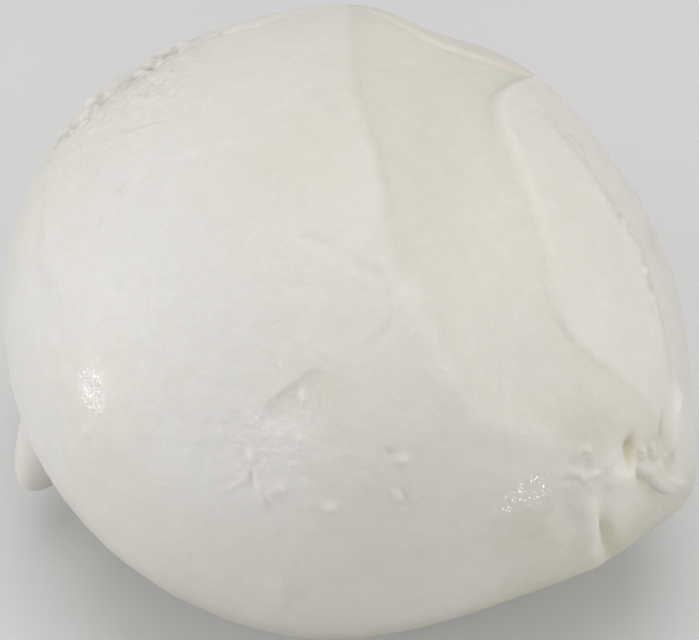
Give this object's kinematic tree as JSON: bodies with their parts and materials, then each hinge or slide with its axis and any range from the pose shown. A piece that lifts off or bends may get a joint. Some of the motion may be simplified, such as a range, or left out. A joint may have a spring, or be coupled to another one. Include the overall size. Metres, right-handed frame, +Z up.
{
  "type": "mozzarella ball",
  "caption": "Fresh mozzarella ball: sagging round of white curd with lapped skin folds, a pinched knot at one side and a small tail at the other.",
  "frame": {"origin": "middle of the bounding box in X and Y, at the underside that the ball rests on", "axes": "+X from the tail towards the pinched knot, +Y towards the plain back, +Z up from the table"},
  "size_m": [0.1106, 0.1068, 0.0839],
  "materials": {
    "mozzarella": "moist milk-white curd skin, satin with wet spots"
  },
  "bodies": {
    "root": {"mozzarella_ball": "mozzarella"}
  },
  "joints": []
}
